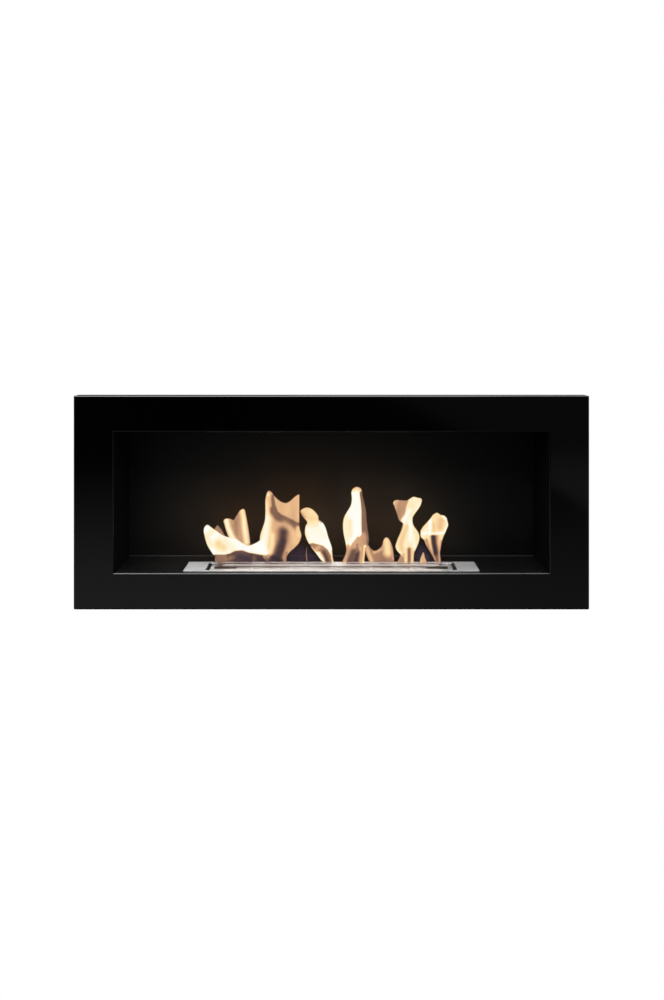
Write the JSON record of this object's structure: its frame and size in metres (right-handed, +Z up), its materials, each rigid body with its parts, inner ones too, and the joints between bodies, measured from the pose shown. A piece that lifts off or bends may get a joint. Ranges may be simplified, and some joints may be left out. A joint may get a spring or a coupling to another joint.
{
  "type": "wall-hung bioethanol fireplace",
  "caption": "Long, low wall-hung bioethanol fireplace: gloss-black folded mask, matt-black firebox, slotted stainless burner with lift-out container and sliding shutter.",
  "frame": {"origin": "middle of the wall rail's screw holes, in the plane of the wall", "axes": "+X to the right seen from the room, +Y into the wall, +Z up"},
  "size_m": [0.9, 0.132, 0.3735],
  "materials": {
    "gloss_black": "high-gloss stove enamel",
    "firebox_black": "satin heat-proof paint",
    "housing_black": "fine-textured matt powder coat",
    "black_screws": "black passivated",
    "zinc_plated": "bright zinc plate",
    "galvanised": "galvanised sheet",
    "rubber": "moulded rubber",
    "brushed_stainless": "brushed along its length",
    "satin_stainless": "satin, faintly heat-tinted",
    "ceramic_wool": "felted ceramic fibre"
  },
  "bodies": {
    "casing": {"front_frame": "gloss_black", "frame_studs": "zinc_plated", "frame_nuts": "zinc_plated", "rear_housing": "housing_black", "back_panel": "housing_black", "back_panel_screws": "black_screws", "firebox_liner": "firebox_black", "firebox_cheek_left": "firebox_black", "firebox_cheek_right": "firebox_black", "liner_brackets_upper": "galvanised", "liner_brackets_lower": "galvanised", "burner_well": "galvanised", "hanger_rail": "galvanised", "hanger_rivets": "zinc_plated", "wall_rail": "galvanised", "wall_bumpers": "rubber"},
    "surround": {"burner_surround": "brushed_stainless"},
    "container": {"container_tub": "satin_stainless", "container_top": "satin_stainless", "ceramic_wool": "ceramic_wool", "shutter_rivets": "satin_stainless"},
    "shutter": {"shutter": "satin_stainless", "shutter_knob": "satin_stainless"}
  },
  "joints": [
    {"name": "surround_lift", "type": "slide", "parent": "casing", "child": "surround", "axis": [0, 0, 1], "range_m": [0, 0.05]},
    {"name": "container_lift", "type": "slide", "parent": "casing", "child": "container", "axis": [0, 0, 1], "range_m": [0, 0.08]},
    {"name": "shutter_slide", "type": "slide", "parent": "container", "child": "shutter", "axis": [0, -1, 0], "range_m": [0, 0.0132]}
  ]
}
